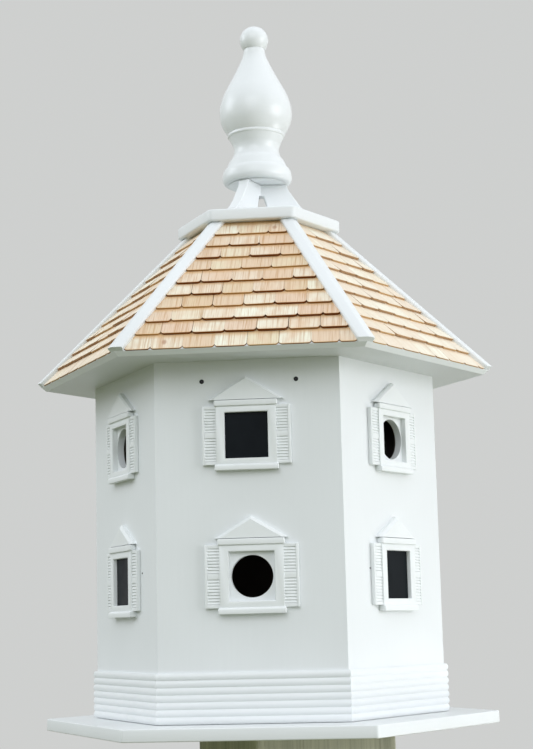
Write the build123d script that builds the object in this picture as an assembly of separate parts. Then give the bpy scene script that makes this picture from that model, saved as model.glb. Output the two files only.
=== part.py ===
from build123d import *
from math import asin, atan, cos, radians, sin, sqrt, tan
import os

os.makedirs("parts", exist_ok=True)

# Six-sided dovecote on a square post. Millimetres, +Z up.
# The origin is on the foot of the post, straight below the middle of the house.
# The front wall faces -Y, so two corners of the plan hexagon lie on the X axis.
# Heights named "up" or "low" below are measured from the underside of the base
# board, at post_top.

post_top = 1200.0
post_side = 145.0
post_turn = 29.0               # degrees: the post stands about square to the front-left wall
post_shift = 24.0              # the house sits off the middle of its post: the post is nearer +X
post_edge = 2.5

wall_radius = 170.0            # corner radius of the hexagon of walls
wall_thick = 7.0
wall_up = 337.5                # top of the walls
base_radius = 221.3
base_thick = 11.4
edge_round = 1.2               # eased edges of the painted boards
storey_low = 201.5             # board between the two rows of windows
storey_thick = 6.0

skirt_thick = 2.4              # flat of the skirting; its beads stand out from it
skirt_high = 44.6
skirt_gap = 0.7                # the skirting hangs on the walls just clear of the base board
bead_out = 1.1
bead_count = 7
bead_groove = 0.5              # flat between two beads

hole_radius = 19.0             # entry holes
pane_thick = 1.0

roof_pitch = radians(47.5)
deck_under = 368.88            # the deck's underside planes stand this far from the axis foot
deck_thick = 6.0
eave_cut = -119.75             # the planes that trim the eaves square to the slope
soffit_thick = 6.0
course_exposure = 19.5         # shingles: ten courses a side
course_count = 10
shingle_butt = 3.1             # height of a shingle's lower edge over the deck
shingle_head = 1.1             # and of its upper end
strip_wide = 10.0              # a hip board has a strip this wide on each side of the hip
strip_thick = 5.25
strip_round = 2.0
cap_low = 488.9
cap_thick = 11.7
cap_radius = 83.7
cap_corner = 3.0

leg_thick = 11.0               # finial foot: three flared legs round the axis
leg_turn = 7.5                 # degrees to the first leg
# Outer edge of a leg: radius and height.
leg_edge = [(64.0, 502.6), (54.7, 507.0), (44.6, 516.8), (36.6, 528.0), (31.3, 536.0), (29.8, 541.5)]
leg_gap_foot = 15.0            # the hollow under the legs narrows upwards
leg_gap_top = (6.0, 529.4)

# Finial, turned about the axis: radius and height along each curve.
ring_curve = [(29.8, 541.5), (33.3, 543.2), (35.2, 546.6), (35.5, 550.6), (34.8, 554.6), (33.5, 557.6)]
neck_curve = [(32.6, 558.0), (28.3, 566.2), (24.5, 571.8), (23.0, 577.6), (23.7, 583.0), (25.7, 587.6),
              (28.1, 592.2)]
lip_curve = [(28.1, 592.2), (29.3, 594.0), (29.1, 595.8)]
bulb_curve = [(29.1, 595.8), (32.4, 600.6), (35.5, 607.0), (36.9, 613.0), (37.2, 619.7), (35.9, 628.3),
              (32.1, 639.0), (26.5, 649.8), (20.9, 660.6), (15.6, 671.4), (12.1, 680.0), (10.6, 687.6)]
ball_radius, ball_up, ball_join = 14.8, 697.4, 687.6

# Windows: two rows, the lower row a little larger, with a slightly narrower
# gable. Sideways places are taken to the right as seen from outside.
# Each row: height of the middle, scale, half the width of the gable.
rows = {"upper": (268.0, 1.00, 34.2), "lower": (141.0, 1.05, 32.9)}
shift = {("front", "upper"): -0.8, ("front", "lower"): 1.4, ("front_right", "upper"): 1.0}
opening_wide, opening_high = 39.4, 42.0
# Boards round an opening: left, right, low and high edge from its middle, and
# how far each stands out from the wall.
window_boards = {
    "casing": (-27.7, 27.7, -27.0, 27.0, 5.0),
    "lintel": (-29.0, 29.0, 26.6, 32.2, 6.6),
    "sill": (-29.0, 29.0, -31.7, -26.4, 7.0),
    "left_shutter": (-40.4, -26.0, -26.6, 27.0, 3.9),
    "right_shutter": (26.0, 40.4, -26.6, 27.0, 3.9),
}
gable_low, gable_high, gable_out, gable_bevel = 32.2, 53.6, 5.6, 2.3

# Outward direction of each wall, in degrees from +X.
faces = {"front": -90, "front_right": -30, "back_right": 30,
         "back": 90, "back_left": 150, "front_left": 210}
hips = {"right": 0, "back_right": 60, "back_left": 120, "left": 180, "front_left": 240, "front_right": 300}

half_side = 30                 # degrees from a wall's middle to its corner
SB, CB = sin(roof_pitch), cos(roof_pitch)
flat_ratio = cos(radians(half_side))                     # distance to a side over corner radius
hip_pitch = atan(tan(roof_pitch) * flat_ratio)
hip_fold = asin(SB * sin(radians(half_side)))            # a strip falls away from level by this
deck_top = deck_under + deck_thick
wall_face = wall_radius * flat_ratio
inner_radius = wall_radius - wall_thick / flat_ratio
roof_low, roof_high = 320, 520                           # heights that clear the whole roof
reach = 300                                              # radius that clears the whole roof
strip_low = wall_up - 4                                  # the hip boards hang this low at the eaves
clear = 20                                               # a cut runs this far past what it cuts
overlap = 1                                              # and a block starts this far inside one


def save(node, shape):
    """Writes one named sub-part."""
    export_step(shape, f"parts/{node}.step")


def hexagon(radius, height):
    """The plan hexagon as a face at this height, two corners on the X axis."""
    corners = [(radius * cos(radians(60 * k)), radius * sin(radians(60 * k))) for k in range(6)]
    return Plane.XY.offset(post_top + height) * make_face(Polyline(*corners, close=True))


def hex_board(radius, low, high):
    """A six-sided board between two heights."""
    return extrude(hexagon(radius, low), high - low)


def roof_body(offset, low=roof_low, high=roof_high):
    """Everything under the six roof planes that stand at this distance."""
    def radius(height):
        return (offset - height * CB) / SB / flat_ratio
    return loft([hexagon(radius(low), low), hexagon(radius(high), high)], ruled=True)


def eave_body(low=roof_low, high=roof_high):
    """Everything inside the planes that trim the eaves."""
    def radius(height):
        return (eave_cut + height * SB) / CB / flat_ratio
    return loft([hexagon(radius(low), low), hexagon(radius(high), high)], ruled=True)


def wedge(angle, low, high):
    """The wedge of plan behind one wall, from the axis outwards."""
    across = reach * tan(radians(half_side))
    outline = make_face(Polyline((0, 0), (reach, across), (reach, -across), close=True))
    return Rot(0, 0, angle) * (Plane.XY.offset(post_top + low) * extrude(outline, high - low))


def on_wall(angle, shape):
    """Turns a shape drawn with x to the left, y outwards and z up onto a wall."""
    return Rot(0, 0, angle - 90) * Pos(0, wall_face, 0) * shape


def upright(pen):
    """A face from lines drawn with x outwards and y up, standing in the XZ plane."""
    return Plane(origin=(0, 0, 0), x_dir=(1, 0, 0), z_dir=(0, -1, 0)) * make_face(Wire(pen))


def raised(points):
    """The points of a turned or flared edge, lifted from heights to the part's frame."""
    return [(r, post_top + z) for r, z in points]


# Post and base board.

post = Pos(post_shift, 0, 0) * Rot(0, 0, post_turn) * Box(post_side, post_side, post_top,
                                                          align=(Align.CENTER, Align.CENTER, Align.MIN))
save("post", chamfer(post.edges().filter_by(Axis.Z), post_edge))

base = hex_board(base_radius, 0, base_thick)
base = fillet(base.edges().filter_by(Axis.Z), edge_round)
save("base_board", fillet(base.faces().sort_by(Axis.Z)[-1].edges(), edge_round))

# Walls, storey board and skirting.


def kind(face, row):
    """Entry hole or pane: they alternate round the walls and between the rows."""
    even = list(faces).index(face) % 2 == 0
    return "hole" if even == (row == "lower") else "pane"


def window_place(face, row):
    """Middle of a window in the frame that on_wall turns."""
    return Pos(-shift.get((face, row), 0.0), 0, post_top + rows[row][0])


shell = hex_board(wall_radius, base_thick, wall_up) - hex_board(inner_radius, 0, wall_up + clear)
for face, angle in faces.items():
    wall = shell & wedge(angle, 0, wall_up)
    for row in rows:
        if kind(face, row) == "hole":
            bore = Rot(90, 0, 0) * Cylinder(hole_radius, 6 * wall_thick)
            wall -= on_wall(angle, window_place(face, row) * bore)
    save("wall_" + face, wall)

save("upper_floor", hex_board(inner_radius, storey_low, storey_low + storey_thick))

skirt_low = base_thick + skirt_gap
bead_pitch = skirt_high / bead_count
pen = [Line((0, 0), (skirt_thick, 0))]
for k in range(bead_count):
    low, high = k * bead_pitch, (k + 1) * bead_pitch
    start, end = low + bead_groove / 2, high - bead_groove / 2
    middle = (skirt_thick + bead_out, (start + end) / 2)
    pen += [Line((skirt_thick, low), (skirt_thick, start)),
            ThreePointArc((skirt_thick, start), middle, (skirt_thick, end)),
            Line((skirt_thick, end), (skirt_thick, high))]
pen += [Line((skirt_thick, skirt_high), (0, skirt_high)), Line((0, skirt_high), (0, 0))]
plank = Pos(wall_face, 0, post_top + skirt_low) * extrude(upright(pen), wall_radius / 2 + clear, both=True)
for face, angle in faces.items():
    save("skirting_" + face, Rot(0, 0, angle) * plank & wedge(angle, 0, 2 * skirt_high))

# Roof: soffit, deck, hip boards, shingles and cap.

save("soffit_board", hex_board(reach, wall_up, wall_up + soffit_thick) & roof_body(deck_under))

roof_room = eave_body() & hex_board(reach, strip_low, cap_low)      # room between eaves and cap
deck = (roof_body(deck_top) - roof_body(deck_under)) & roof_room
for face, angle in faces.items():
    save("roof_deck_" + face, deck & wedge(angle, wall_up, cap_low))


def strip_point(along, depth):
    """A point of a strip's section: along its face from the hip, and below its face.

    The section's x runs level across the hip and its y squarely up from it.
    """
    crest = (deck_top + strip_thick) / cos(hip_fold)
    return (along * cos(hip_fold) - depth * sin(hip_fold),
            crest - along * sin(hip_fold) - depth * cos(hip_fold))


def along_hip(points):
    """A bar along the hip over +X: the right half of its section, mirrored."""
    section = points + [(-x, y) for x, y in reversed(points) if x > 0]
    across_hip = Plane(origin=(0, 0, post_top), x_dir=(0, 1, 0), z_dir=(cos(hip_pitch), 0, -sin(hip_pitch)))
    bar = across_hip * extrude(make_face(Polyline(*section, close=True)), reach * 2, both=True)
    return bar & Pos(reach / 2, 0, post_top + roof_low) * Box(reach, reach, 2 * reach)


crest_y = strip_point(0, 0)[1]
eased = [strip_point(strip_wide - strip_round * (1 - sin(radians(a))), strip_round * (1 - cos(radians(a))))
         for a in (0, 30, 60, 90)]
strip_pair = along_hip([(0, crest_y)] + eased + [strip_point(strip_wide, strip_thick),
                                                 (0, crest_y - strip_thick / cos(hip_fold))])
for name, angle in hips.items():
    save("hip_board_" + name, Rot(0, 0, angle) * strip_pair & roof_room)

# Room that the shingles leave for a strip pair, from well over it to well under it.
strip_room = along_hip([(0, crest_y + clear), strip_point(strip_wide, -clear / 2),
                        strip_point(strip_wide, clear / 2), (0, crest_y - clear)])
eave_apothem = deck_top * SB + eave_cut * CB             # lower edge of the deck's upper side
eave_height = deck_top * CB - eave_cut * SB
slope_end = course_count * course_exposure + clear
saw = [(0, -overlap)]
for k in range(course_count):
    saw += [(k * course_exposure, shingle_butt), ((k + 1) * course_exposure, shingle_head)]
saw += [(slope_end, shingle_head), (slope_end, -overlap)]
up_slope = Plane(origin=(eave_apothem, 0, post_top + eave_height), x_dir=(-CB, 0, SB), z_dir=(0, -1, 0))
courses = up_slope * extrude(make_face(Polyline(*saw, close=True)), reach, both=True)
for face, angle in faces.items():
    block = Rot(0, 0, angle) * courses & wedge(angle, roof_low, cap_low)
    block -= roof_body(deck_top)
    for corner in (angle - half_side, angle + half_side):
        block -= Rot(0, 0, corner) * strip_room
    save("shingles_" + face, block)

cap_top = cap_low + cap_thick
cap = hex_board(cap_radius, cap_low, cap_top)
cap = fillet(cap.edges().filter_by(Axis.Z), cap_corner)
save("cap_board", fillet(cap.faces().sort_by(Axis.Z)[-1].edges(), edge_round))

# Finial and its foot.

foot_z = post_top + cap_top
flare = raised(leg_edge)
gap_radius, gap_z = raised([leg_gap_top])[0]
toe, crown = flare[0], flare[-1]
leg_face = upright([Line((leg_gap_foot, foot_z), (toe[0], foot_z)), Line((toe[0], foot_z), toe),
                    Spline(*flare), Line(crown, (0, crown[1])), Line((0, crown[1]), (0, gap_z)),
                    Line((0, gap_z), (gap_radius, gap_z)), Line((gap_radius, gap_z), (leg_gap_foot, foot_z))])
leg = extrude(leg_face, leg_thick / 2, both=True)
save("finial_foot", Rot(0, 0, leg_turn) * leg + Rot(0, 0, leg_turn + 120) * leg + Rot(0, 0, leg_turn + 240) * leg)

ring, neck, lip, bulb = raised(ring_curve), raised(neck_curve), raised(lip_curve), raised(bulb_curve)
join = (sqrt(ball_radius ** 2 - (ball_join - ball_up) ** 2), post_top + ball_join)
tip = (0, post_top + ball_up + ball_radius)
seat = (0, ring[0][1])
finial = upright([Line(seat, ring[0]), Spline(*ring), Line(ring[-1], neck[0]), Spline(*neck),
                  ThreePointArc(*lip), Spline(*bulb), Line(bulb[-1], join),
                  ThreePointArc(join, (ball_radius, post_top + ball_up), tip), Line(tip, seat)])
save("finial", revolve(finial, Axis.Z, 360))

# Windows.


def surround(k, gable_half):
    """One window's mouldings at scale k: casing, lintel, sill, shutters and gable.

    Drawn with x across the wall, y outwards from it and z up, from the middle
    of the opening.
    """
    body = None
    for left, right, low, high, out in window_boards.values():
        board = Pos((left + right) / 2 * k, out / 2, (low + high) / 2 * k) \
            * Box((right - left) * k, out, (high - low) * k)
        body = board if body is None else body + board
    outline = Polyline((-gable_half, gable_low * k), (gable_half, gable_low * k),
                       (0, gable_high), close=True)
    gable = extrude(Plane.XZ * make_face(outline), -gable_out)
    rim = gable.faces().sort_by(Axis.Y)[-1].edges()
    slopes = rim.filter_by(lambda edge: abs((edge @ 0).Z - (edge @ 1).Z) > gable_bevel)
    return body + chamfer(slopes, gable_bevel) - Box(opening_wide * k, 40, opening_high * k)


pane_list = []
for face, angle in faces.items():
    for row, (height, k, gable_half) in rows.items():
        place = window_place(face, row)
        save(f"window_{face}_{row}", on_wall(angle, place * surround(k, gable_half)))
        if kind(face, row) == "pane":
            sheet = Pos(0, pane_thick / 2, 0) * Box(opening_wide * k, pane_thick, opening_high * k)
            pane_list.append(on_wall(angle, place * sheet))
save("window_panes", Compound(children=pane_list))
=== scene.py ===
import math

import bpy
import numpy as np
from mathutils import Matrix, Vector


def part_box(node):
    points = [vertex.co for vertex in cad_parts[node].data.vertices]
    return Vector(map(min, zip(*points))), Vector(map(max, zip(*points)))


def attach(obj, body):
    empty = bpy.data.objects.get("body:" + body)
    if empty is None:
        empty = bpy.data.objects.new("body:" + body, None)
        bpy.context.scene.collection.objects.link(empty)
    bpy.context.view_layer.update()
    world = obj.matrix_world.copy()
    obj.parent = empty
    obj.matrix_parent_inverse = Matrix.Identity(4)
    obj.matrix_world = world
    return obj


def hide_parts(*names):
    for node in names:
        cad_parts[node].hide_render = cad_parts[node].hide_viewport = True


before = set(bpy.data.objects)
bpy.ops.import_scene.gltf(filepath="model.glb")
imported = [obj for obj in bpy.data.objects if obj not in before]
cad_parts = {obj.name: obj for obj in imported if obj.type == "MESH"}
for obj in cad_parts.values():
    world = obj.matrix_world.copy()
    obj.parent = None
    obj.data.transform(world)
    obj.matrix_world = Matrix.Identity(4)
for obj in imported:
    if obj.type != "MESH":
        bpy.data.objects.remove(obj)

# A painted six-sided dovecote with a cedar roof on a weathered post.
# Metres, Z up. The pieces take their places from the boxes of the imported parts.

mm = 0.001
scene = bpy.context.scene
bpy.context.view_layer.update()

# Outward direction of each wall, in degrees from +X.
faceAngles = {"front": -90, "front_right": -30, "back_right": 30,
              "back": 90, "back_left": 150, "front_left": 210}
hipAngles = {"right": 0, "back_right": 60, "back_left": 120,
             "left": 180, "front_left": 240, "front_right": 300}
sideTurn = math.radians(30)                # from a wall's middle to its corner
halfSide = math.tan(sideTurn)              # half a side's width over its distance from the axis
wallFace = -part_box("wall_front")[0].y
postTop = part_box("post")[1].z


# Mesh helpers.

def facingOut(points, faceSets):
    # Every face is a fan of triangles, and the triple products of their corners
    # add up to six times the volume. A negative sum means faces turned inwards.
    volume = sum(np.einsum("ij,ij->i", points[faces[:, 0]],
                           np.cross(points[faces[:, k]], points[faces[:, k + 1]])).sum()
                 for faces in faceSets for k in range(1, faces.shape[1] - 1))
    return [faces[:, ::-1] for faces in faceSets] if volume < 0 else list(faceSets)


def makePiece(name, points, faceSets, material, slot, crease=30, attributes=None):
    # Puts arrays into a mesh. faceSets holds arrays of faces, one array for each
    # number of corners.
    points = np.asarray(points, float).reshape(-1, 3)
    faceSets = facingOut(points, [np.asarray(faces, int) for faces in faceSets if len(faces)])
    corners = np.concatenate([faces.ravel() for faces in faceSets])
    counts = np.concatenate([np.full(len(faces), faces.shape[1]) for faces in faceSets])
    mesh = bpy.data.meshes.new(name)
    mesh.vertices.add(len(points))
    mesh.vertices.foreach_set("co", points.astype(np.float32).ravel())
    mesh.loops.add(len(corners))
    mesh.loops.foreach_set("vertex_index", corners.astype(np.int32))
    mesh.polygons.add(len(counts))
    mesh.polygons.foreach_set("loop_start", (np.cumsum(counts) - counts).astype(np.int32))
    mesh.update(calc_edges=True)
    mesh.validate()
    mesh.shade_smooth()
    mesh.set_sharp_from_angle(angle=math.radians(crease))
    for key, values in (attributes or {}).items():
        layer = mesh.attributes.new(key, "FLOAT_VECTOR", "POINT")
        layer.data.foreach_set("vector", np.asarray(values, np.float32).ravel())
    mesh.materials.append(material)
    piece = bpy.data.objects.new(name, mesh)
    scene.collection.objects.link(piece)
    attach(piece, "root")
    return piece


def gridFaces(rows, columns, start=0, closed=False):
    # Quads of a grid of points stored row after row. closed joins the last
    # column to the first.
    r = np.arange(rows - 1)[:, None]
    c = np.arange(columns if closed else columns - 1)[None, :]
    d = (c + 1) % columns
    corners = (r * columns + c, r * columns + d, (r + 1) * columns + d, (r + 1) * columns + c)
    return np.stack([a + start for a in corners], -1).reshape(-1, 4)


def closedRings(rings, start=0):
    # A closed skin over rings of points (rings, around, 3): quads between
    # neighbouring rings, and one flat face on the first and on the last ring.
    rows, columns = rings.shape[:2]
    quads = gridFaces(rows, columns, start, closed=True)
    ends = np.stack([np.arange(columns)[::-1] + start, np.arange(columns) + start + (rows - 1) * columns])
    return rings.reshape(-1, 3), quads, ends


def joined(solids):
    # Several closed skins as one set of points and faces, grouped by corners.
    points, sets, start = [], {}, 0
    for part in solids:
        points.append(part[0])
        for faces in part[1:]:
            sets.setdefault(faces.shape[1], []).append(faces + start)
        start += len(part[0])
    return np.concatenate(points), [np.concatenate(faces) for faces in sets.values()]


def roundedOutline(corners, radii, steps=4):
    # Each corner of a polygon becomes a quarter-like curve: the points of a
    # quadratic Bezier from one tangent point to the other, with the corner as
    # its middle control point.
    corners = np.asarray(corners, float)
    radii = np.broadcast_to(np.asarray(radii, float), len(corners))[:, None]
    before, after = np.roll(corners, 1, 0) - corners, np.roll(corners, -1, 0) - corners
    lengthBefore = np.linalg.norm(before, axis=1, keepdims=True)
    lengthAfter = np.linalg.norm(after, axis=1, keepdims=True)
    enter = corners + before / lengthBefore * np.minimum(radii, 0.45 * lengthBefore)
    leave = corners + after / lengthAfter * np.minimum(radii, 0.45 * lengthAfter)
    t = np.linspace(0, 1, steps + 1)[None, :, None]
    curve = (1 - t) ** 2 * enter[:, None] + 2 * t * (1 - t) * corners[:, None] + t ** 2 * leave[:, None]
    return curve.reshape(-1, 2)


def smoothThrough(points, steps):
    # A smooth line through points: on each span the Catmull-Rom cubic, with the
    # slope at a point taken from its two neighbours.
    p = np.asarray(points, float)
    slope = np.gradient(p, axis=0)
    a, b, ma, mb = p[:-1, None], p[1:, None], slope[:-1, None], slope[1:, None]
    t = np.linspace(0, 1, steps, endpoint=False)[None, :, None]
    line = ((2 * t**3 - 3 * t**2 + 1) * a + (t**3 - 2 * t**2 + t) * ma
            + (3 * t**2 - 2 * t**3) * b + (t**3 - t**2) * mb)
    return np.concatenate([line.reshape(-1, 2), p[-1:]])


def barAlong(section, low, high, ease):
    # A section (n, 2) carried from low to high along the third axis. Its first
    # and last ring are drawn in towards the middle, which eases the ends.
    section = np.asarray(section, float)
    middle = (section.max(0) + section.min(0)) / 2
    half = (section.max(0) - section.min(0)) / 2
    shrunk = middle + (section - middle) * (1 - ease / half)
    places = ((shrunk, low), (section, low + ease), (section, high - ease), (shrunk, high))
    return closedRings(np.stack([np.column_stack([ring, np.full(len(ring), at)]) for ring, at in places]))


def planTurned(out, across, a):
    # A place out from the axis and across it, turned by a in the plan.
    return out * math.cos(a) - across * math.sin(a), out * math.sin(a) + across * math.cos(a)


def turnedOnFace(points, angle):
    # Local (across, up, out from the axis) to the frame, for the wall that
    # faces angle. Across runs to the right as seen from outside.
    a = math.radians(angle)
    across, up, out = np.asarray(points).T
    return np.column_stack([-math.sin(a) * across + math.cos(a) * out,
                            math.cos(a) * across + math.sin(a) * out, up])


# Materials.

def node(tree, kind, inputs=None, **settings):
    # Adds a shader node. An input is a value or another node's output.
    made = tree.nodes.new(kind)
    for key, value in settings.items():
        setattr(made, key, value)
    for key, value in (inputs or {}).items():
        if isinstance(value, bpy.types.NodeSocket):
            tree.links.new(value, made.inputs[key])
        else:
            made.inputs[key].default_value = value
    return made


def startMaterial(name, **sockets):
    # A material with a Principled shader whose plain sockets are set.
    material = bpy.data.materials.new(name)
    material.use_nodes = True
    tree = material.node_tree
    shader = tree.nodes["Principled BSDF"]
    for key, value in sockets.items():
        shader.inputs[key.replace("_", " ")].default_value = value
    return material, tree, shader


def noise(tree, place, scale, detail=3.0, stretch=(1, 1, 1), roughness=0.55):
    # Noise on a stretched place, as one output from 0 to 1.
    spread = node(tree, "ShaderNodeMapping", {"Vector": place, "Scale": stretch})
    return node(tree, "ShaderNodeTexNoise", {"Vector": spread.outputs[0], "Scale": scale,
                                             "Detail": detail, "Roughness": roughness}).outputs[0]


def between(tree, factor, low, high, fromLow=0.3, fromHigh=0.7):
    # Moves a value from one range to another, held at the ends.
    return node(tree, "ShaderNodeMapRange", {0: factor, 1: fromLow, 2: fromHigh, 3: low, 4: high}).outputs[0]


def mixColours(tree, factor, first, second, blend="MIX"):
    mixed = node(tree, "ShaderNodeMix", data_type="RGBA", blend_type=blend)
    for index, value in ((0, factor), (6, first), (7, second)):
        if isinstance(value, bpy.types.NodeSocket):
            tree.links.new(value, mixed.inputs[index])
        else:
            mixed.inputs[index].default_value = value
    return mixed.outputs[2]


def bumpFrom(tree, height, strength, depth, under=None):
    inputs = {"Height": height, "Strength": strength, "Distance": depth}
    if under is not None:
        inputs["Normal"] = under
    return node(tree, "ShaderNodeBump", inputs).outputs[0]


def finished(material, tree, shader, colour, relief=None):
    # Links a colour and a relief to the shader.
    tree.links.new(colour, shader.inputs["Base Color"])
    if relief is not None:
        tree.links.new(relief, shader.inputs["Normal"])
    return material


def objectPlace(tree):
    return node(tree, "ShaderNodeTexCoord").outputs["Object"]


paint = {"colour": (0.785, 0.81, 0.818, 1), "dull": (0.728, 0.752, 0.758, 1), "roughness": 0.42,
         # Raw board inside the walls, made near black: painted shade.
         "rawInsideShaded": (0.055, 0.037, 0.024, 1), "rawDepth": 6.5 * mm,
         # On the next line, the last grey is painted shade for upper sides.
         "rawDeck": (0.20, 0.10, 0.045, 1), "greying": (0.60, 0.62, 0.62, 1),
         "orangePeel": 0.0016, "brush": 0.0030}


def makePaint(name, brushAlong=(1, 1, 0.06), hollow=False, rawAbove=None, upperShade=0.0,
              brighter=1.0, smoother=0.0):
    # Satin paint: faint drift of tone, brush marks along one direction and a
    # fine orange peel. A hollow piece shows raw board deeper than rawDepth, made
    # near black as painted shade; rawAbove is the height over which an upper side
    # is bare; a share for upper sides greys them as painted shade; brighter scales
    # the colour and smoother is taken off the roughness.
    material, tree, shader = startMaterial(name, Roughness=paint["roughness"] - smoother)
    place = objectPlace(tree)
    drift = noise(tree, place, 9, 2)
    marks = noise(tree, place, 1 / paint["brush"], 3, brushAlong)
    peel = noise(tree, place, 1 / paint["orangePeel"], 2)
    clean, dull = (tuple(brighter * part for part in paint[tone][:3]) + (1,) for tone in ("colour", "dull"))
    colour = mixColours(tree, between(tree, drift, 0.0, 0.55), clean, dull)
    colour = mixColours(tree, between(tree, marks, 0.0, 0.18), colour, dull)
    normal = bumpFrom(tree, marks, 0.35, 0.00012)
    normal = bumpFrom(tree, peel, 0.30, 0.00005, normal)
    if hollow:
        reach = None
        for angle in (30, 90, 150):
            direction = (math.cos(math.radians(angle)), math.sin(math.radians(angle)), 0)
            dot = node(tree, "ShaderNodeVectorMath", {0: place, 1: direction}, operation="DOT_PRODUCT")
            size = node(tree, "ShaderNodeMath", {0: dot.outputs["Value"]}, operation="ABSOLUTE").outputs[0]
            if reach is None:
                reach = size
            else:
                reach = node(tree, "ShaderNodeMath", {0: reach, 1: size}, operation="MAXIMUM").outputs[0]
        isInside = node(tree, "ShaderNodeMath", {0: reach, 1: wallFace - paint["rawDepth"]},
                        operation="LESS_THAN").outputs[0]
        # Painted shade: deeper than rawDepth inside the walls the colour is near black.
        colour = mixColours(tree, isInside, colour, paint["rawInsideShaded"])
    if rawAbove is not None or upperShade:
        facing = node(tree, "ShaderNodeTexCoord").outputs["Normal"]
        upward = node(tree, "ShaderNodeSeparateXYZ", {0: facing}).outputs[2]
    if rawAbove is not None:
        height = node(tree, "ShaderNodeSeparateXYZ", {0: place}).outputs[2]
        isHigh = node(tree, "ShaderNodeMath", {0: height, 1: rawAbove}, operation="GREATER_THAN").outputs[0]
        isUpper = node(tree, "ShaderNodeMath", {0: upward, 1: 0.3}, operation="GREATER_THAN").outputs[0]
        isBare = node(tree, "ShaderNodeMath", {0: isHigh, 1: isUpper}, operation="MULTIPLY").outputs[0]
        colour = mixColours(tree, isBare, colour, paint["rawDeck"])
    # Painted shade: upper sides are greyed.
    if upperShade:
        colour = mixColours(tree, between(tree, upward, 0, upperShade, 0.6, 0.95), colour, paint["greying"])
    return finished(material, tree, shader, colour, normal)


trim = {"colour": (0.812, 0.838, 0.841, 1), "dull": (0.76, 0.786, 0.787, 1), "roughness": 0.38}


def makeTrim():
    # Moulded trim under the same paint: smoother, with a soft skin.
    material, tree, shader = startMaterial("mouldedTrim", Roughness=trim["roughness"])
    place = objectPlace(tree)
    drift = noise(tree, place, 35, 2)
    skin = noise(tree, place, 420, 2)
    colour = mixColours(tree, between(tree, drift, 0, 0.5), trim["colour"], trim["dull"])
    return finished(material, tree, shader, colour, bumpFrom(tree, skin, 0.25, 0.00006))


pane = {"colour": (0.0035, 0.0055, 0.0075, 1), "worn": (0.0065, 0.009, 0.0115, 1), "roughness": 0.30}


def makePane():
    # Black pane: a low gloss with faint dust.
    material, tree, shader = startMaterial("darkPane", Specular_IOR_Level=0.075)
    place = objectPlace(tree)
    greying = noise(tree, place, 60, 4)
    roughness = between(tree, greying, pane["roughness"], pane["roughness"] + 0.15)
    tree.links.new(roughness, shader.inputs["Roughness"])
    colour = mixColours(tree, between(tree, greying, 0, 1), pane["colour"], pane["worn"])
    return finished(material, tree, shader, colour)


cedar = {"cream": (0.835, 0.825, 0.689, 1), "pink": (0.715, 0.55, 0.416, 1), "tan": (0.64, 0.47, 0.239, 1),
         "blush": (0.71, 0.525, 0.368, 1), "streak": (0.45, 0.225, 0.072, 1),
         "warm": (0.66, 0.42, 0.201, 1), "shadeBand": (0.014, 0.019),
         "litPaleColour": (0.88, 0.85, 0.737, 1), "litPaleButt": (0.66, 0.46, 0.268, 1),
         "butt": (0.175, 0.052, 0.01, 1), "buttPale": (0.46, 0.25, 0.077, 1),
         "knot": (0.42, 0.25, 0.163, 1), "roughness": 0.62}


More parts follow.
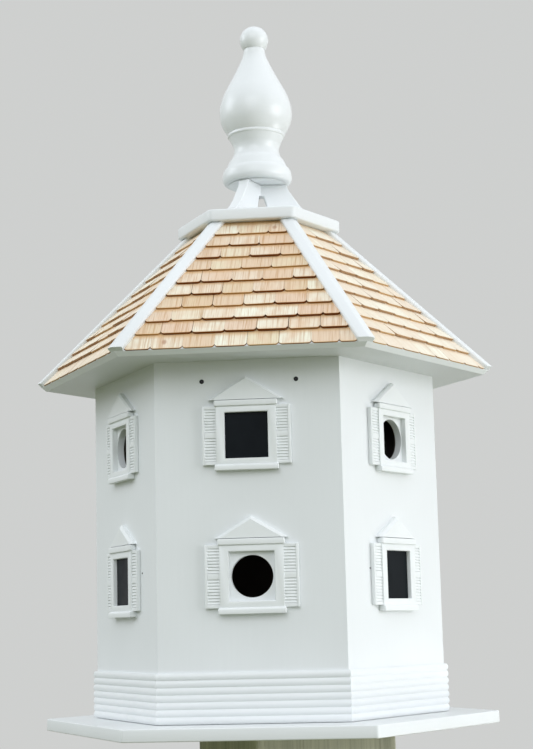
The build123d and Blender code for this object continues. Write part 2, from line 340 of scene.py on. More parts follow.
def makeCedar():
    # Cedar: each shingle has its own tone. Grain runs up the slope, in metres
    # across and along the shingle, and the sawn lower edge is darker, partly as
    # painted shade. A knot is a spot round the place where the knot attribute is zero.
    material, tree, shader = startMaterial("cedar", Roughness=cedar["roughness"], Specular_IOR_Level=0.08)
    plank = node(tree, "ShaderNodeAttribute", attribute_name="plank").outputs["Vector"]
    tone = node(tree, "ShaderNodeAttribute", attribute_name="tone").outputs["Vector"]
    knot = node(tree, "ShaderNodeAttribute", attribute_name="knot").outputs["Vector"]
    tones = node(tree, "ShaderNodeSeparateXYZ", {0: tone}).outputs
    litPale = node(tree, "ShaderNodeAttribute", attribute_name="litPale").outputs["Fac"]
    fine = noise(tree, plank, 900, 2, (1, 0.02, 1))
    broad = noise(tree, plank, 330, 3, (1, 0.035, 1))
    cloud = noise(tree, plank, 70, 2, (1, 0.5, 1))
    colour = mixColours(tree, tones[0], cedar["cream"], cedar["pink"])
    colour = mixColours(tree, between(tree, tones[1], 0, 0.45, 0.6, 1.0), colour, cedar["tan"])
    colour = mixColours(tree, between(tree, cloud, 0, 0.75, 0.42, 0.72), colour, cedar["blush"])
    colour = mixColours(tree, between(tree, broad, 0, 0.50, 0.52, 0.72), colour, cedar["streak"])
    colour = mixColours(tree, between(tree, fine, 0, 0.55, 0.52, 0.70), colour, cedar["streak"])
    # Painted shade: just under the course above, the wood is made redder for the shade there, and at its own
    # lower edge it is redder too.
    alongPlank = node(tree, "ShaderNodeSeparateXYZ", {0: plank}).outputs[1]
    paintedShadeBand = between(tree, alongPlank, 0, 0.8, cedar["shadeBand"][0], cedar["shadeBand"][1])
    lowerEdge = between(tree, alongPlank, 0.55, 0, 0.0, 2.2 * mm)
    colour = mixColours(tree, paintedShadeBand, colour, cedar["warm"])
    colour = mixColours(tree, lowerEdge, colour, cedar["warm"])
    # Painted light: paler on the sides that face the light.
    colour = mixColours(tree, litPale, colour, cedar["litPaleColour"])
    far = node(tree, "ShaderNodeVectorMath", {0: knot}, operation="LENGTH").outputs["Value"]
    spot = between(tree, far, 0.75, 0, 1.2 * mm, 2.9 * mm)
    colour = mixColours(tree, spot, colour, cedar["knot"])
    # The third tone is 1 on a shingle's lower skin and 0 on its upper one, so it
    # runs between them over the sawn butt.
    # Partly painted shade: the butts are darker end grain, made darker still for the shade under each
    # course; on the right-hand sides they are paler, as painted light.
    buttEndAndShade = mixColours(tree, between(tree, tones[1], 0, 1, 0.35, 1.0), cedar["butt"], cedar["buttPale"])
    buttEndAndShade = mixColours(tree, litPale, buttEndAndShade, cedar["litPaleButt"])
    colour = mixColours(tree, between(tree, tones[2], 0, 1, 0.02, 0.16), colour, buttEndAndShade)
    normal = bumpFrom(tree, broad, 0.5, 0.0004)
    normal = bumpFrom(tree, fine, 0.5, 0.0002, normal)
    return finished(material, tree, shader, colour, normal)


timber = {"pale": (0.585, 0.575, 0.455, 1), "grey": (0.375, 0.37, 0.292, 1), "dark": (0.17, 0.155, 0.113, 1),
          "green": (0.375, 0.39, 0.268, 1), "roughness": 0.8}


def makeTimber():
    # Weathered softwood: broad and fine grain stretched up the post, with
    # patches of green and of grey.
    material, tree, shader = startMaterial("weatheredTimber", Roughness=timber["roughness"],
                                           Specular_IOR_Level=0.25)
    place = objectPlace(tree)
    greyPatch = noise(tree, place, 6, 2, (1, 1, 0.25))
    broad = noise(tree, place, 55, 4, (1, 1, 0.03))
    fine = noise(tree, place, 420, 4, (1, 1, 0.03))
    greenPatch = noise(tree, place, 7, 3, (1, 1, 0.5))
    colour = mixColours(tree, between(tree, broad, 0, 1, 0.35, 0.65), timber["pale"], timber["grey"])
    colour = mixColours(tree, between(tree, fine, 0, 0.6, 0.5, 0.75), colour, timber["dark"])
    colour = mixColours(tree, between(tree, greenPatch, 0, 0.45), colour, timber["green"])
    colour = mixColours(tree, between(tree, greyPatch, 0, 0.35), colour, timber["grey"])
    normal = bumpFrom(tree, broad, 0.6, 0.0012)
    normal = bumpFrom(tree, fine, 0.6, 0.0005, normal)
    return finished(material, tree, shader, colour, normal)


board = {"pale": (0.50, 0.36, 0.22, 1), "dark": (0.30, 0.20, 0.11, 1), "roughness": 0.75}


def makeBoard():
    # Bare plywood for the storey board inside.
    material, tree, shader = startMaterial("bareBoard", Roughness=board["roughness"])
    place = objectPlace(tree)
    grain = noise(tree, place, 90, 4, (0.08, 1, 1))
    colour = mixColours(tree, between(tree, grain, 0, 1), board["pale"], board["dark"])
    return finished(material, tree, shader, colour, bumpFrom(tree, grain, 0.4, 0.0004))


steel = {"colour": (0.016, 0.016, 0.018, 1), "worn": (0.006, 0.006, 0.007, 1), "roughness": 0.33}


def makeScrewSteel():
    # Blackened steel, rubbed in places.
    material, tree, shader = startMaterial("screwSteel", Metallic=0.3, Roughness=steel["roughness"])
    place = objectPlace(tree)
    rub = noise(tree, place, 900, 2)
    colour = mixColours(tree, between(tree, rub, 0, 1), steel["colour"], steel["worn"])
    return finished(material, tree, shader, colour)


alongBoard = (0.06, 1, 1)
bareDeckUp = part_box("roof_deck_front")[0].z + 7.5 * mm      # the deck is bare over its painted edge
wallPaint = makePaint("wallPaint", hollow=True)
boardPaint = makePaint("boardPaint", brushAlong=alongBoard)
# Painted shade: the base board's upper sides are greyed.
basePaint = makePaint("basePaint", brushAlong=alongBoard, upperShade=0.35)
# Painted shade: the soffit's paint is made 0.88 as bright as the rest, for the shade under the eaves.
soffitShadedPaint = makePaint("soffitShadedPaint", brushAlong=alongBoard, brighter=0.88)
deckPaint = makePaint("deckPaint", brushAlong=alongBoard, rawAbove=bareDeckUp)
# Painted light: the finial's paint is made 1.045 times as bright as the rest, for the fuller light round it.
turnedLitPaint = makePaint("turnedLitPaint", brushAlong=(0.3, 0.3, 1), brighter=1.045, smoother=0.15)
trimPaint = makeTrim()
darkPane = makePane()
cedarWood = makeCedar()
postTimber = makeTimber()
bareBoard = makeBoard()
screwSteel = makeScrewSteel()
print("materials made")

# The first of these that a part's name starts with gives its finish.
keptFinishes = {"wall_": wallPaint, "window_panes": darkPane, "upper_floor": bareBoard,
                "roof_deck_": deckPaint, "soffit_board": soffitShadedPaint, "": boardPaint}
for name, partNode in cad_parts.items():
    partNode.data.materials.clear()
    finishes = [finish for start, finish in keptFinishes.items() if name.startswith(start)]
    partNode.data.materials.append(finishes[0])


# Six-sided boards.

def hexRing(apothem, up, corner, steps=5):
    # The plan hexagon at one height, its corners rounded, as a ring of points.
    turn = np.radians(60 * np.arange(6))
    radius = apothem / math.cos(sideTurn)
    outline = roundedOutline(np.column_stack([radius * np.cos(turn), radius * np.sin(turn)]), corner, steps)
    return np.column_stack([outline, np.full(len(outline), up)])


def hexSlab(apothem, low, high, corner, ease):
    # Rings up the edge of the board: the distance inwards follows a quarter
    # circle at the lower and at the upper edge.
    turn = np.linspace(0, math.pi / 2, 5)
    inset = ease * (1 - np.sin(turn))
    rise = ease * (1 - np.cos(turn))
    steps = list(zip(inset, low + rise)) + list(zip(inset[::-1], high - rise[::-1]))
    rings = [hexRing(apothem - reach, up, corner) for reach, up in steps]
    return closedRings(np.stack(rings))


slabs = {"corner": 2.0 * mm, "baseEase": 1.1 * mm, "capCorner": 4.5 * mm, "capEase": 1.8 * mm}


def makeSlab(name, nodeName, corner, ease, finish):
    low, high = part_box(nodeName)
    points, quads, ends = hexSlab(high.y, low.z, high.z, corner, ease)
    piece = makePiece(name, points, [quads, ends], finish, "white_paint")
    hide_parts(nodeName)


makeSlab("base_board_painted", "base_board", slabs["corner"], slabs["baseEase"], basePaint)
makeSlab("cap_board_painted", "cap_board", slabs["capCorner"], slabs["capEase"], boardPaint)
print("base board and cap made")

# Skirting.

skirt = {"flat": 2.3 * mm, "bead": 1.2 * mm, "beads": 7, "groove": 0.45 * mm, "fatness": 0.6}


def beadedProfile(height):
    # Distance out against height: a row of beads, each a sine bow fattened by
    # a power, between two narrow flats.
    pitch = height / skirt["beads"]
    t = np.linspace(0, 1, 11)
    bow = skirt["flat"] + skirt["bead"] * np.sin(math.pi * t) ** skirt["fatness"]
    rise = skirt["groove"] / 2 + t * (pitch - skirt["groove"])
    up = (np.arange(skirt["beads"])[:, None] * pitch + rise[None, :]).ravel()
    out = np.tile(bow, skirt["beads"])
    return np.column_stack([np.concatenate([[0, 0], up, [height, height]]),
                            np.concatenate([[0, skirt["flat"]], out, [skirt["flat"], 0]])])


for face, angle in faceAngles.items():
    low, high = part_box("skirting_front")
    up, out = beadedProfile(high.z - low.z).T
    reach = wallFace + out
    sides = [np.column_stack([side * reach * halfSide, low.z + up, reach]) for side in (-1, 1)]
    points, quads, ends = closedRings(np.stack([turnedOnFace(side, angle) for side in sides]))
    piece = makePiece("skirting_" + face + "_beaded", points, [quads, ends], boardPaint, "white_trim",
                      crease=50)
    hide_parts("skirting_" + face)
print("skirting made")

# Roof.

roof = {"pitch": math.radians(47.5), "deck": 6.0 * mm, "strip": 10.0 * mm, "stripThick": 5.25 * mm,
        "stripEase": 2.4 * mm, "crestEase": 2.0 * mm, "innerEase": 0.2 * mm,
        "endEase": 1.0 * mm, "endShrink": 0.06}
sinPitch, cosPitch = math.sin(roof["pitch"]), math.cos(roof["pitch"])
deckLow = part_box("roof_deck_front")[0]
eaveOut = -deckLow.y                                  # upper edge of the deck's end
eaveUp = deckLow.z + roof["deck"] * cosPitch
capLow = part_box("cap_board")[0].z


def onSlope(across, along, over, angle):
    # A point of the roof side: across, up the slope from the eave, and over
    # the deck.
    out = eaveOut - along * cosPitch + over * sinPitch
    up = eaveUp + along * sinPitch + over * cosPitch
    return turnedOnFace(np.column_stack([across.ravel(), up.ravel(), out.ravel()]), angle)


def makeHips():
    # A folded pair of strips carried down each hip. A point of the section is
    # carried along the hip until it meets the plane of the eave's square end
    # and the level of the cap.
    hipPitch = math.atan(math.tan(roof["pitch"]) * math.cos(sideTurn))
    fold = math.asin(sinPitch * math.sin(sideTurn))
    deckOver = eaveOut * sinPitch + (eaveUp - postTop) * cosPitch
    crest = (deckOver + roof["stripThick"]) / math.cos(fold)
    down = np.array([math.cos(fold), -math.sin(fold)])       # down a strip's face
    over = np.array([math.sin(fold), math.cos(fold)])        # squarely out of it
    top = np.array([0.0, crest])
    edge = top + roof["strip"] * down
    under = top - np.array([0.0, roof["stripThick"] / math.cos(fold)])
    flip = np.array([-1.0, 1.0])
    corners = np.array([top, edge, edge - roof["stripThick"] * over, under,
                        (edge - roof["stripThick"] * over) * flip, edge * flip])
    inner = roof["innerEase"]
    ease = np.array([roof["crestEase"], roof["stripEase"], inner, inner, inner, roof["stripEase"]])
    v, n = roundedOutline(corners, ease, 6).T
    along = np.array([math.cos(hipPitch), 0, -math.sin(hipPitch)])   # down the hip over +X
    start = np.column_stack([n * math.sin(hipPitch), v, n * math.cos(hipPitch)])
    # Down-slope direction of the roof side that each point lies on.
    side = np.where(v >= 0, 1, -1) * sideTurn
    slope = np.column_stack([np.cos(side) * cosPitch, np.sin(side) * cosPitch, np.full(len(v), -sinPitch)])
    eavePlane = eaveOut * cosPitch - (eaveUp - postTop) * sinPitch
    toEave = (eavePlane - (start * slope).sum(1)) / (slope @ along)
    toCap = (capLow - postTop - start[:, 2]) / along[2]
    reaches = (toCap, toCap + roof["endEase"], (toCap + toEave) / 2, toEave - roof["endEase"], toEave)
    rings = np.stack([start + reach[:, None] * along for reach in reaches])
    rings[-1] = rings[-1] + (rings[-1].mean(0) - rings[-1]) * roof["endShrink"]     # eased lower end
    for name, angle in hipAngles.items():
        a = math.radians(angle)
        turn = np.array([[math.cos(a), math.sin(a), 0], [-math.sin(a), math.cos(a), 0], [0, 0, 1]])
        points, quads, ends = closedRings(rings @ turn + np.array([0, 0, postTop]))
        piece = makePiece("hip_board_" + name + "_painted", points, [quads, ends], boardPaint, "white_paint")
        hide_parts("hip_board_" + name)


makeHips()
print("hip boards made")

shingle = {"courses": 10, "exposure": 19.5 * mm, "width": 29.0 * mm, "firstWidth": 24.0 * mm,
           "butt": 2.0 * mm, "firstButt": 0.35 * mm, "lap": 1.1 * mm, "under": 5.0 * mm,
           "cut": 2.7 * mm, "cutHigh": 3.2 * mm, "slit": 0.35 * mm,
           "joint": 0.05 * mm, "openJoint": 0.28 * mm, "openShare": 0.12, "hipGap": 8.5 * mm,
           "narrowest": 9.0 * mm, "frontWidth": 28.8 * mm, "frontLast": 16.0 * mm,
           "frontSliver": 8.0 * mm, "knotShare": 0.012, "firstRaise": 0.9 * mm, "thinnest": 0.3 * mm,
           "cutIn": (0, 0.22, 0.58, 1), "cutUp": (1, 0.52, 0.15, 0), "lowest": 0.35 * mm,
           "bedded": 0.05 * mm, "underCap": 4 * mm, "knotLong": 1.6}
# How much one shingle differs from the next.
uneven = {"first": 1.2 * mm, "joint": 0.7 * mm, "butt": 0.35 * mm, "skew": 0.008, "curl": 0.12 * mm}
# How much paler each side's cedar is made: painted light, most on the right-hand sides.
litPaleBySide = {"front": 0.0, "front_right": 0.48, "back_right": 0.48,
             "back": 0.25, "back_left": 0.25, "front_left": 0.35}


def makeShingles(face, angle, seed):
    # Every shingle is a thin wedge on a grid: stations across it, close
    # together at the cut corners, in three rows up. The lower edge lifts
    # towards both corners, and the sides are held inside the two hip boards.
    rng = np.random.default_rng(seed)
    lefts, rights, courses = [], [], []
    for course in range(shingle["courses"]):
        half = (eaveOut - course * shingle["exposure"] * cosPitch) * halfSide - shingle["hipGap"]
        first = -half + shingle["firstWidth"] + rng.normal(0, uneven["first"])
        joints = np.arange(first, half, shingle["width"])
        joints = joints + rng.normal(0, uneven["joint"], len(joints))
        joints = joints[joints < half - shingle["narrowest"]]
        if face == "front":
            # Laid to a rule: even widths from the left hip, and the last joint
            # held back so that no sliver is left at the right hip.
            joints = np.arange(shingle["firstWidth"] - half, half - shingle["frontSliver"],
                               shingle["frontWidth"])
            joints = np.minimum(joints, half - shingle["frontLast"])
        edges = np.concatenate([[-half], joints, [half]])
        lefts.append(edges[:-1])
        rights.append(edges[1:])
        courses.append(np.full(len(edges) - 1, course))
    left, right, course = (np.concatenate(rows)[:, None, None] for rows in (lefts, rights, courses))
    count = len(left)
    gap = shingle["joint"] * (0.5 + rng.random((count, 1, 1)))
    gap = gap + shingle["openJoint"] * (rng.random((count, 1, 1)) < shingle["openShare"])
    inset = np.array(shingle["cutIn"]) * shingle["cut"]              # of the stations at a corner
    stations = np.concatenate([left + gap + inset, right - gap - inset[::-1]], 2)
    lift = np.array(shingle["cutUp"])
    lift = (shingle["cutHigh"] * np.concatenate([lift, lift[::-1]])
            * (0.75 + 0.5 * rng.random((count, 1, 1))))
    v = np.array([0, 0.5, 1]).reshape(1, 3, 1)
    length = shingle["exposure"] + shingle["under"]
    buttDrift = rng.normal(0, uneven["butt"], (count, 1, 1)) * (course > 0)
    skew = rng.normal(0, uneven["skew"], (count, 1, 1))
    centre = (left + right) / 2
    low = course * shingle["exposure"] + buttDrift + lift + skew * (stations - centre) * (course > 0)
    top = (course + 1) * shingle["exposure"] + shingle["under"]
    top = np.minimum(top, (capLow - eaveUp) / sinPitch + shingle["underCap"])
    along = low + v * (top - low)
    limit = (eaveOut - along * cosPitch) * halfSide - shingle["hipGap"]
    across = np.clip(np.broadcast_to(stations, along.shape), -limit, limit)
    fromButt = along - course * shingle["exposure"]
    raised = np.where(course > 0, shingle["lap"], shingle["firstRaise"])
    # A dark butt is thicker and stands off the course below it.
    darkness = rng.random((count, 1, 1))
    buttThick = shingle["butt"] * (0.85 + 0.42 * darkness)
    buttThick = np.where(course > 0, buttThick, shingle["firstButt"])
    slit = shingle["slit"] * darkness ** 2 * (course > 0)
    upper = raised + (buttThick + slit) * (1 - fromButt / shingle["exposure"]) + 0 * across
    upper = np.maximum(upper, shingle["lowest"])
    curl = rng.normal(0, uneven["curl"], (count, 1, 1)) * (across - centre) / shingle["width"]
    upper = upper + curl
    lower = np.where(course > 0, (shingle["lap"] + slit) * (1 - fromButt / length), shingle["bedded"])
    lower = np.minimum(lower + 0 * across, upper - shingle["thinnest"])
    solids = np.stack([upper, lower], 1)                     # shingle, skin, row, station
    acrossAll = np.stack([across, across], 1)
    alongAll = np.stack([along, along], 1)
    points = onSlope(acrossAll, alongAll, solids, angle)
    # One shingle's faces: both skins, and sides round the border of the grid.
    rows, columns = solids.shape[2:]
    onSkin = rows * columns
    grid = np.arange(onSkin).reshape(rows, columns)
    border = np.concatenate([grid[0], grid[1:-1, -1], grid[-1, ::-1], grid[-2:0:-1, 0]])
    follow = np.roll(border, -1)
    skin = gridFaces(rows, columns)
    sides = np.column_stack([follow, border, border + onSkin, follow + onSkin])
    faces = np.concatenate([skin, skin[:, ::-1] + onSkin, sides])
    quads = ((np.arange(count) * 2 * onSkin)[:, None, None] + faces[None]).reshape(-1, 4)
    # Grain place: across and along in metres, moved apart for each shingle.
    seedShift = rng.random((count, 1, 1, 1)) * 7
    plank = np.stack([acrossAll - centre[:, None], alongAll - low.min(2, keepdims=True)[:, None],
                      seedShift + 0 * acrossAll], -1)
    warmth = rng.random((count, 1, 1, 1)) + 0 * acrossAll
    depth = 1 - darkness[:, None] + 0 * acrossAll
    isButt = 0 * acrossAll
    isButt[:, 1] = 1
    tone = np.stack([warmth, depth, isButt], -1)
    # The knot attribute is the way from a knot; most shingles are clear of one.
    holds = rng.random(count) < shingle["knotShare"]
    if face == "front":
        holds[1] = True
    side = rng.uniform(-6 * mm, 2 * mm, (count, 1, 1, 1))
    high = (0.45 + 0.15 * rng.random((count, 1, 1, 1))) * shingle["exposure"]
    knot = np.stack([plank[..., 0] - side, (plank[..., 1] - high) / shingle["knotLong"], 0 * acrossAll], -1)
    knot[~holds] = 1.0
    # Painted light: each side's cedar is paler by its share in the table above.
    litPale = np.full((points.shape[0], 3), litPaleBySide[face])
    piece = makePiece("shingles_" + face + "_laid", points, [quads], cedarWood, "cedar", crease=25,
                      attributes={"plank": plank.reshape(-1, 3), "tone": tone.reshape(-1, 3),
                                  "knot": knot.reshape(-1, 3), "litPale": litPale})
    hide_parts("shingles_" + face)


for seed, (face, angle) in enumerate(faceAngles.items()):
    makeShingles(face, angle, 11 + seed)
print("shingles made")

# Finial and its foot.

# Radius and height over the underside of the base board, in millimetres.
finialLines = {
    "foot": [(29.5, 541.5), (29.5, 541.8)],
    "joint": [(28.2, 542.0), (28.2, 542.4), (29.9, 542.5)],
    "ring": [(30.4, 542.5), (33.3, 543.5), (35.2, 546.6), (35.5, 550.6), (34.9, 554.6), (33.7, 557.3)],
    "step": [(33.2, 557.5), (32.3, 557.6)],
    "neck": [(31.9, 558.0), (28.3, 566.2), (24.5, 571.8), (23.0, 577.6), (23.7, 583.0), (25.7, 587.6),
             (28.1, 592.2)],
    "lip": [(28.1, 592.2), (29.0, 592.9), (29.4, 594.0), (29.1, 595.8)],
    "bulb": [(29.1, 595.8), (32.4, 600.6), (35.5, 607.0), (36.9, 613.0), (37.2, 619.7), (35.9, 628.3),
             (32.1, 639.0), (26.5, 649.8), (20.9, 660.6), (15.6, 671.4), (12.1, 680.0), (10.6, 687.6)],
}
ball = {"radius": 14.8, "up": 697.4}


def makeFinial():
    # The profile turned once round the axis. The ball is an arc from where it
    # meets the bulb to the pole.
    start = math.asin((finialLines["bulb"][-1][1] - ball["up"]) / ball["radius"])
    turn = np.linspace(start, math.pi / 2 - 0.01, 22)
    ballLine = np.column_stack([ball["radius"] * np.cos(turn), ball["up"] + ball["radius"] * np.sin(turn)])
    profile = np.concatenate([smoothThrough(line, 6) for line in finialLines.values()] + [ballLine]) * mm
    around = np.linspace(0, 2 * math.pi, 96, endpoint=False)
    radius, up = profile[:, 0, None], profile[:, 1, None] + postTop
    rings = np.stack([radius * np.cos(around), radius * np.sin(around), up + 0 * around], -1)
    points, quads, ends = closedRings(rings)
    piece = makePiece("finial_turned", points, [quads, ends], turnedLitPaint, "white_paint", crease=40)
    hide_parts("finial")


makeFinial()

leg = {"thick": 11.0 * mm, "ease": 1.6 * mm, "turn": 7.5, "gapFoot": 15.0, "gapTop": (6.0, 529.4),
       "edge": [(64.0, 502.6), (54.7, 507.0), (44.6, 516.8), (36.6, 528.0), (31.3, 536.0), (29.8, 541.5)]}


def makeLegs():
    # The outline of a leg in radius and height, given its thickness.
    foot = (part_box("cap_board")[1].z - postTop) / mm
    outer = smoothThrough(leg["edge"], 5)
    outline = np.concatenate([[(leg["gapFoot"], foot), (leg["edge"][0][0], foot)], outer,
                              [(0, outer[-1][1]), (0, leg["gapTop"][1]), leg["gapTop"]]]) * mm
    half = leg["thick"] / 2
    for k in range(3):
        a = math.radians(leg["turn"] + 120 * k)
        sides = []
        for side in (-half, half):
            x, y = planTurned(outline[:, 0], side, a)
            sides.append(np.column_stack([x, y, outline[:, 1] + postTop]))
        points, quads, ends = closedRings(np.stack(sides))
        piece = makePiece(f"finial_leg_{k + 1}", points, [quads, ends], turnedLitPaint, "white_paint")
        eased = piece.modifiers.new("ease", "BEVEL")
        eased.width = leg["ease"]
        eased.segments = 3
        eased.limit_method = "ANGLE"
        eased.angle_limit = math.radians(40)
        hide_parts("finial_foot")


makeLegs()
print("finial made")

# Windows.

# Millimetres from the middle of the opening. A row's scale holds across and up,
# not out from the wall. The gable's tip, its second value, isn't scaled.
window = {"opening": (19.7, 21.0), "casingHalf": (27.7, 27.0), "casingOut": 5.0, "innerEase": 0.9,
          "lintel": (29.0, 26.7, 32.0, 6.6), "sill": (29.0, -31.7, -26.4, 7.0), "sillSlope": 1.3,
          "shutter": (27.7, 40.4, -26.6, 27.0, 3.9), "stile": 2.5, "louvreOut": (2.75, 3.8),
          "louvreZones": ((2.9, 24.0), (-23.6, -2.4)), "louvres": 8,
          "gable": (32.5, 53.6, 5.6), "ease": 0.45, "lintelEase": 0.9, "railEase": 0.3,
          "railEnd": 0.05, "slatEnd": 0.01, "square": 0.01, "tuck": 0.6}
# Each row: its scale, half the width of its gable, and the gable's bevel.
windowRows = {"upper": (1.0, 34.2, 1.7), "lower": (1.05, 32.9, 2.3)}


def louvreSection(low, high, back):
    # Saw teeth in (up, out): each slat leans out towards its lower edge.
    count = window["louvres"]
    inner, outer = window["louvreOut"]
    pitch = (high - low) / count
    k = np.arange(count)[:, None] * pitch + low
    ups = k + pitch * np.array([[0.0, 0.12, 0.35, 1.0]])
    outs = np.array([[inner, outer, outer, inner]]) + 0 * ups
    teeth = np.stack([ups, outs], -1).reshape(-1, 2)
    return np.concatenate([[(low, back)], teeth, [(high, back)]])


def bar(section, low, high, ease):
    # A bar along x from a section in (up, out), as (across, up, out) points.
    points, quads, ends = barAlong(section, low, high, ease)
    return points[:, [2, 0, 1]], quads, ends


def rectangle(low, high, back, front, ease):
    square = window["square"]
    return roundedOutline([(low, back), (low, front), (high, front), (high, back)],
                          [square, ease, ease, square], 3)


def windowSolids(scale, gableHalf, soft):
    # Every board of a window in (across, up, out), in millimetres before the
    # window is scaled. The gable is divided by the scale, which then undoes it.
    ease = window["ease"]
    solids = []
    # Casing: a moulded section carried round the opening, mitred.
    (holeX, holeZ), (halfX, halfZ) = window["opening"], window["casingHalf"]
    width = halfX - holeX
    inner = window["innerEase"]
    front = window["casingOut"]
    section = np.array([(0, 0), (0, front - ease), (0.3 * ease, front - 0.3 * ease), (ease, front),
                        (width - inner, front), (width - 0.3 * inner, front - 0.3 * inner),
                        (width, front - inner), (width, 0)])
    inset, out = section[:, 0, None], section[:, 1, None]
    insetUp = inset * (halfZ - holeZ) / width
    signs = np.array([(-1, -1), (1, -1), (1, 1), (-1, 1)])
    casing = np.stack([signs[:, 0] * (halfX - inset), signs[:, 1] * (halfZ - insetUp),
                       out + 0 * signs[:, 0]], -1)
    ring = len(section)
    quads = gridFaces(ring, 4, closed=True)
    corner, following, last = np.arange(4), (np.arange(4) + 1) % 4, (ring - 1) * 4
    back = np.column_stack([corner + last, following + last, following, corner])
    solids.append((casing.reshape(-1, 3), np.concatenate([quads, back])))
    # Lintel and sill.
    half, low, high, front = window["lintel"]
    soften = window["lintelEase"]
    solids.append(bar(rectangle(low, high, 0, front, soften), -half, half, soften))
    half, low, high, front = window["sill"]
    slope = window["sillSlope"]
    sill = roundedOutline([(low, 0), (low, front), (high - slope, front), (high, front - slope), (high, 0)],
                          [window["square"], ease, ease, ease, window["square"]], 2)
    solids.append(bar(sill, -half, half, ease))
    # Shutters: stiles, three rails and two runs of slats.
    near, far, low, high, front = window["shutter"]
    stile = window["stile"]
    zones = window["louvreZones"]
    rails = ((zones[0][1], high), (zones[1][1], zones[0][0]), (low, zones[1][0]))
    for side in (-1, 1):
        a, b = sorted((side * (near - window["tuck"]), side * (far - stile)))
        for railLow, railHigh in rails:
            rail = rectangle(railLow, railHigh, 0, front, window["railEase"])
            solids.append(bar(rail, a, b, window["railEnd"]))
        for zoneLow, zoneHigh in zones:
            solids.append(bar(louvreSection(zoneLow, zoneHigh, 0), a, b, window["slatEnd"]))
        a, b = sorted((side * (far - stile), side * far))
        solids.append(bar(rectangle(low, high, 0, front, ease), a, b, ease))
    # Gable: the outline drawn in towards its front, square at the foot.
    low, high, front = window["gable"]
    half, high = gableHalf / scale, high / scale
    slopeLength = math.hypot(half, high - low)
    insetX, insetZ = soft * slopeLength / (high - low), soft * slopeLength / half
    outlines = [((half, high), 0), ((half, high), front - soft), ((half - insetX, high - insetZ), front)]
    gable = np.stack([[(-x, low, out), (x, low, out), (0, top, out)] for (x, top), out in outlines])
    solids.append(closedRings(gable))
    return solids


for face, angle in faceAngles.items():
    a = math.radians(angle)
    for row, (scale, gableHalf, soft) in windowRows.items():
        solids = windowSolids(scale, gableHalf, soft)
        windowPoints, windowFaces = joined([(part[0], *facingOut(part[0], part[1:])) for part in solids])
        name = f"window_{face}_{row}"
        low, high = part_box(name)
        middle = (low + high) / 2
        shift = -math.sin(a) * middle.x + math.cos(a) * middle.y
        across, up, out = windowPoints.T
        local = np.column_stack([shift + across * scale * mm, low.z + (up - window["sill"][1]) * scale * mm,
                                 wallFace + out * mm])
        points = turnedOnFace(local, angle)
        piece = makePiece(name + "_moulded", points, windowFaces, trimPaint, "white_trim", crease=32)
        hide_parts(name)
print("windows made")

# Screws over the front window and pins beside two shutters.

# Places are across the wall and up from the underside of the base board. The
# cross in a screw is a share of its radius wide and long, and of its rise deep.
screws = {"radius": 2.1 * mm, "rise": 0.45 * mm, "stand": 0.25 * mm, "sunk": 0.2 * mm,
          "cross": (0.16, 0.62, 0.9), "places": ((-41.1 * mm, 318.6 * mm), (45.4 * mm, 318.0 * mm))}
pins = {"radius": 0.75 * mm, "rise": 0.6 * mm, "stand": 0.1 * mm, "sunk": 0.2 * mm, "cross": None,
        "places": {"front_left": (47.6 * mm, 147.3 * mm), "front_right": (-43.6 * mm, 146.5 * mm)}}


def domedHead(kind, across, up, angle):
    # A shallow dome: rings whose height falls off with the square of the
    # radius, with a cross pressed into the middle of a screw.
    radius, rise, out = kind["radius"], kind["rise"], wallFace + kind["stand"]
    r = np.linspace(1, 0.06, 9)[:, None] * radius
    t = np.linspace(0, 2 * math.pi, 32, endpoint=False)[None]
    height = rise * (1 - (r / radius) ** 2) + 0 * t
    if kind["cross"]:
        wide, long, deep = kind["cross"]
        arm = np.minimum(np.abs(r * np.sin(t)), np.abs(r * np.cos(t)))
        height = height - np.where((arm < wide * radius) & (r < long * radius), deep * rise, 0)
    grid = np.stack([across + r * np.cos(t), postTop + up + r * np.sin(t), out + height], -1)
    foot = grid[:1].copy()
    foot[..., 2] = out - kind["sunk"]                        # a little way into the wood
    points, quads, ends = closedRings(np.concatenate([foot, grid]))
    return turnedOnFace(points, angle), [quads, ends]


for k, (across, up) in enumerate(screws["places"]):
    makePiece(f"wall_screw_{k + 1}", *domedHead(screws, across, up, faceAngles["front"]),
              screwSteel, "dark_pane")
for face, (across, up) in pins["places"].items():
    makePiece(f"shutter_pin_{face}", *domedHead(pins, across, up, faceAngles[face]),
              screwSteel, "dark_pane")
print("screws and pins made")

# Post.

# Each drying check: which face, its place across as a share of the face, its
# lower and upper end in metres, and its width and depth in millimetres.
post = {"edge": 3.4 * mm, "turn": math.radians(29), "chamfer": 2.5 * mm, "wave": 0.25 * mm,
        "rows": 150, "perFace": 34, "sway": 3.0 * mm, "jitter": 1.0 * mm, "fineReach": 8, "finePoints": 27,
        "checks": ((0, 0.12, 0.45, 1.02, 1.5, 9), (0, -0.22, 0.02, 0.55, 1.1, 7),
                   (1, 0.05, 0.30, 0.95, 1.7, 10), (2, -0.15, 0.60, 1.15, 1.3, 8),
                   (2, 0.21, 0.05, 0.40, 1.0, 6), (3, 0.08, 0.25, 0.80, 1.6, 9))}


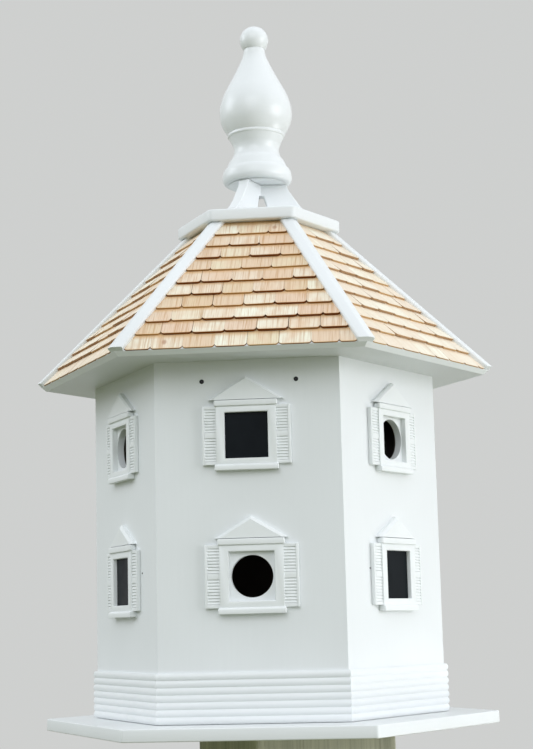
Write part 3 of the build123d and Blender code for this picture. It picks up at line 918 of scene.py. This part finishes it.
def makePost():
    # A square section with eased corners on a grid of rings. Each drying check
    # is a groove along a wandering line, deepest half way along it.
    low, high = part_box("post")
    turn = post["turn"]
    wide = high.x - low.x + 2 * post["chamfer"] * math.sin(turn)
    side = wide / (math.cos(turn) + math.sin(turn))
    half = side / 2
    middle = (low + high) / 2
    z = np.linspace(low.z, high.z, post["rows"])[:, None]
    columns, depthRows = [], []
    for faceIndex in range(4):
        checks = [c for c in post["checks"] if c[0] == faceIndex]
        spots = np.linspace(-half + post["edge"], half - post["edge"], post["perFace"])
        near = np.linspace(-post["fineReach"], post["fineReach"], post["finePoints"]) * mm
        fine = [c[1] * side + near for c in checks]
        spots = np.unique(np.round(np.concatenate([spots] + fine), 5))
        depth = np.zeros((len(z), len(spots)))
        for _, place, start, end, width, deep in checks:
            wander = (place * side + post["sway"] * np.sin(z * 9 + place * 40)
                      + post["jitter"] * np.sin(z * 31 + start * 20))
            share = np.clip((z - start) / (end - start), 0, 1)
            groove = np.exp(-((spots - wander) / (width * mm * 0.5)) ** 2)
            depth += deep * mm * np.sin(math.pi * share) ** 0.5 * groove
        columns.append(spots)
        depthRows.append(depth)
    rings = []
    for faceIndex, (spots, depth) in enumerate(zip(columns, depthRows)):
        a = turn + math.radians(90) * faceIndex
        ripple = post["wave"] * (np.sin(spots * 300 + z * 4) + np.sin(spots * 90 + z * 11 + faceIndex))
        # Ripples only press inwards, so that the post keeps its size.
        out = half - depth - np.abs(ripple) * 0.5
        x, y = planTurned(out, spots, a)
        rings.append(np.stack([x, y, z + 0 * x], -1))
        corner = np.linspace(0, math.pi / 2, 6)[1:-1]
        cx = half - post["edge"] + post["edge"] * np.cos(corner)
        cy = half - post["edge"] + post["edge"] * np.sin(corner)
        x, y = planTurned(cx + 0 * z, cy + 0 * z, a)
        rings.append(np.stack([x, y, z + 0 * x], -1))
    points, quads, ends = closedRings(np.concatenate(rings, 1) + np.array([middle.x, middle.y, 0]))
    piece = makePiece("post_weathered", points, [quads, ends], postTimber, "weathered_timber", crease=50)
    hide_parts("post")


makePost()
print("post made")

# Floor, light and camera.

stage = {"floorRadius": 14.0, "floorColour": (0.12, 0.135, 0.045, 1),
         "paleColour": (0.62, 0.63, 0.622, 1), "glow": 0.85,
         "skyHigh": (0.945, 0.98, 1.0, 1), "skyLow": (0.32, 0.345, 0.33, 1)}


def isSeen(tree):
    # One where a ray comes from the camera, a reflection or a clear surface.
    path = node(tree, "ShaderNodeLightPath").outputs
    seen = node(tree, "ShaderNodeMath", {0: path["Is Camera Ray"], 1: path["Is Glossy Ray"]},
                operation="MAXIMUM")
    return node(tree, "ShaderNodeMath", {0: seen.outputs[0], 1: path["Is Transmission Ray"]},
                operation="MAXIMUM").outputs[0]


def makeFloor():
    turn = np.linspace(0, 2 * math.pi, 96, endpoint=False)
    ring = np.column_stack([np.cos(turn), np.sin(turn), 0 * turn]) * stage["floorRadius"]
    mesh = bpy.data.meshes.new("floor")
    mesh.from_pydata(ring.tolist(), [], [list(range(len(ring)))])
    floor = bpy.data.objects.new("floor", mesh)
    scene.collection.objects.link(floor)
    # Most of the seen floor's paleness is a plain glow, so that the lamps leave
    # no bright patches on it.
    material, tree, shader = startMaterial("floorPale", Roughness=0.9, Specular_IOR_Level=0.0)
    seen = isSeen(tree)
    glow = [stage["glow"] * c for c in stage["paleColour"][:3]] + [1]
    lit = [(1 - stage["glow"]) * c for c in stage["paleColour"][:3]] + [1]
    tree.links.new(mixColours(tree, seen, stage["floorColour"], lit), shader.inputs["Base Color"])
    tree.links.new(mixColours(tree, seen, (0, 0, 0, 1), glow), shader.inputs["Emission Color"])
    shader.inputs["Emission Strength"].default_value = 1.0
    mesh.materials.append(material)


def makeWorld():
    # Soft sky: brighter above than below. What is seen of it is plain and pale.
    world = bpy.data.worlds.new("studio")
    world.use_nodes = True
    scene.world = world
    tree = world.node_tree
    back = tree.nodes["Background"]
    direction = node(tree, "ShaderNodeTexCoord").outputs["Generated"]
    height = node(tree, "ShaderNodeSeparateXYZ", {0: direction}).outputs[2]
    sky = mixColours(tree, between(tree, height, 0, 1, -0.1, 0.5), stage["skyLow"], stage["skyHigh"])
    tree.links.new(mixColours(tree, isSeen(tree), sky, stage["paleColour"]), back.inputs["Color"])
    back.inputs["Strength"].default_value = 1.0


def makeLamp(name, place, target, size, power, colour):
    data = bpy.data.lights.new(name, "AREA")
    data.shape = "SQUARE"
    data.size = size
    data.energy = power
    data.color = colour
    lamp = bpy.data.objects.new(name, data)
    lamp.location = place
    lamp.rotation_euler = (Vector(target) - Vector(place)).to_track_quat("-Z", "Y").to_euler()
    scene.collection.objects.link(lamp)


makeFloor()
makeWorld()
lamps = {"keyFromRight": ((3.85, -1.2, 1.80), 2.4, 85, (0.933, 0.943, 1.0)),
         "lowFromRight": ((1.75, 0.4, 0.45), 0.7, 12.5, (0.955, 0.955, 0.98)),
         "fillFromFront": ((-0.5, -3.4, 3.3), 2.4, 39.4, (0.89, 0.924, 1.0)),
         "skyFromLeft": ((-3.5, -0.2, 3.3), 2.0, 40, (0.88, 0.923, 1.0))}
houseMiddle = (0, 0, postTop + 0.30)
for name, (place, size, power, colour) in lamps.items():
    makeLamp(name, place, houseMiddle, size, power, colour)

camera = {"distance": 1.5908, "round": 0.0976, "up": 0.0961, "turn": -0.0029, "tilt": 0.156,
          "roll": -0.0244, "lens": 77.0, "sensor": 36.0}


def makeCamera():
    # Stands off to the right of the front, a little over the base board, looks
    # up at the roof, and is rolled slightly.
    data = bpy.data.cameras.new("camera")
    data.lens = camera["lens"]
    data.sensor_width = camera["sensor"]
    seat = bpy.data.objects.new("camera", data)
    a = camera["round"] + camera["turn"]
    p = camera["tilt"]
    look = Vector((-math.sin(a) * math.cos(p), math.cos(a) * math.cos(p), math.sin(p)))
    right = Vector((math.cos(a), math.sin(a), 0))
    up = right.cross(look)
    c, s = math.cos(camera["roll"]), math.sin(camera["roll"])
    x, y = right * c + up * s, up * c - right * s
    place = Vector((camera["distance"] * math.sin(camera["round"]),
                    -camera["distance"] * math.cos(camera["round"]), postTop + camera["up"]))
    seat.matrix_world = Matrix(((x.x, y.x, -look.x, place.x), (x.y, y.y, -look.y, place.y),
                                (x.z, y.z, -look.z, place.z), (0, 0, 0, 1)))
    scene.collection.objects.link(seat)
    scene.camera = seat


makeCamera()
scene.view_settings.view_transform = "Standard"
print("stage and camera made")
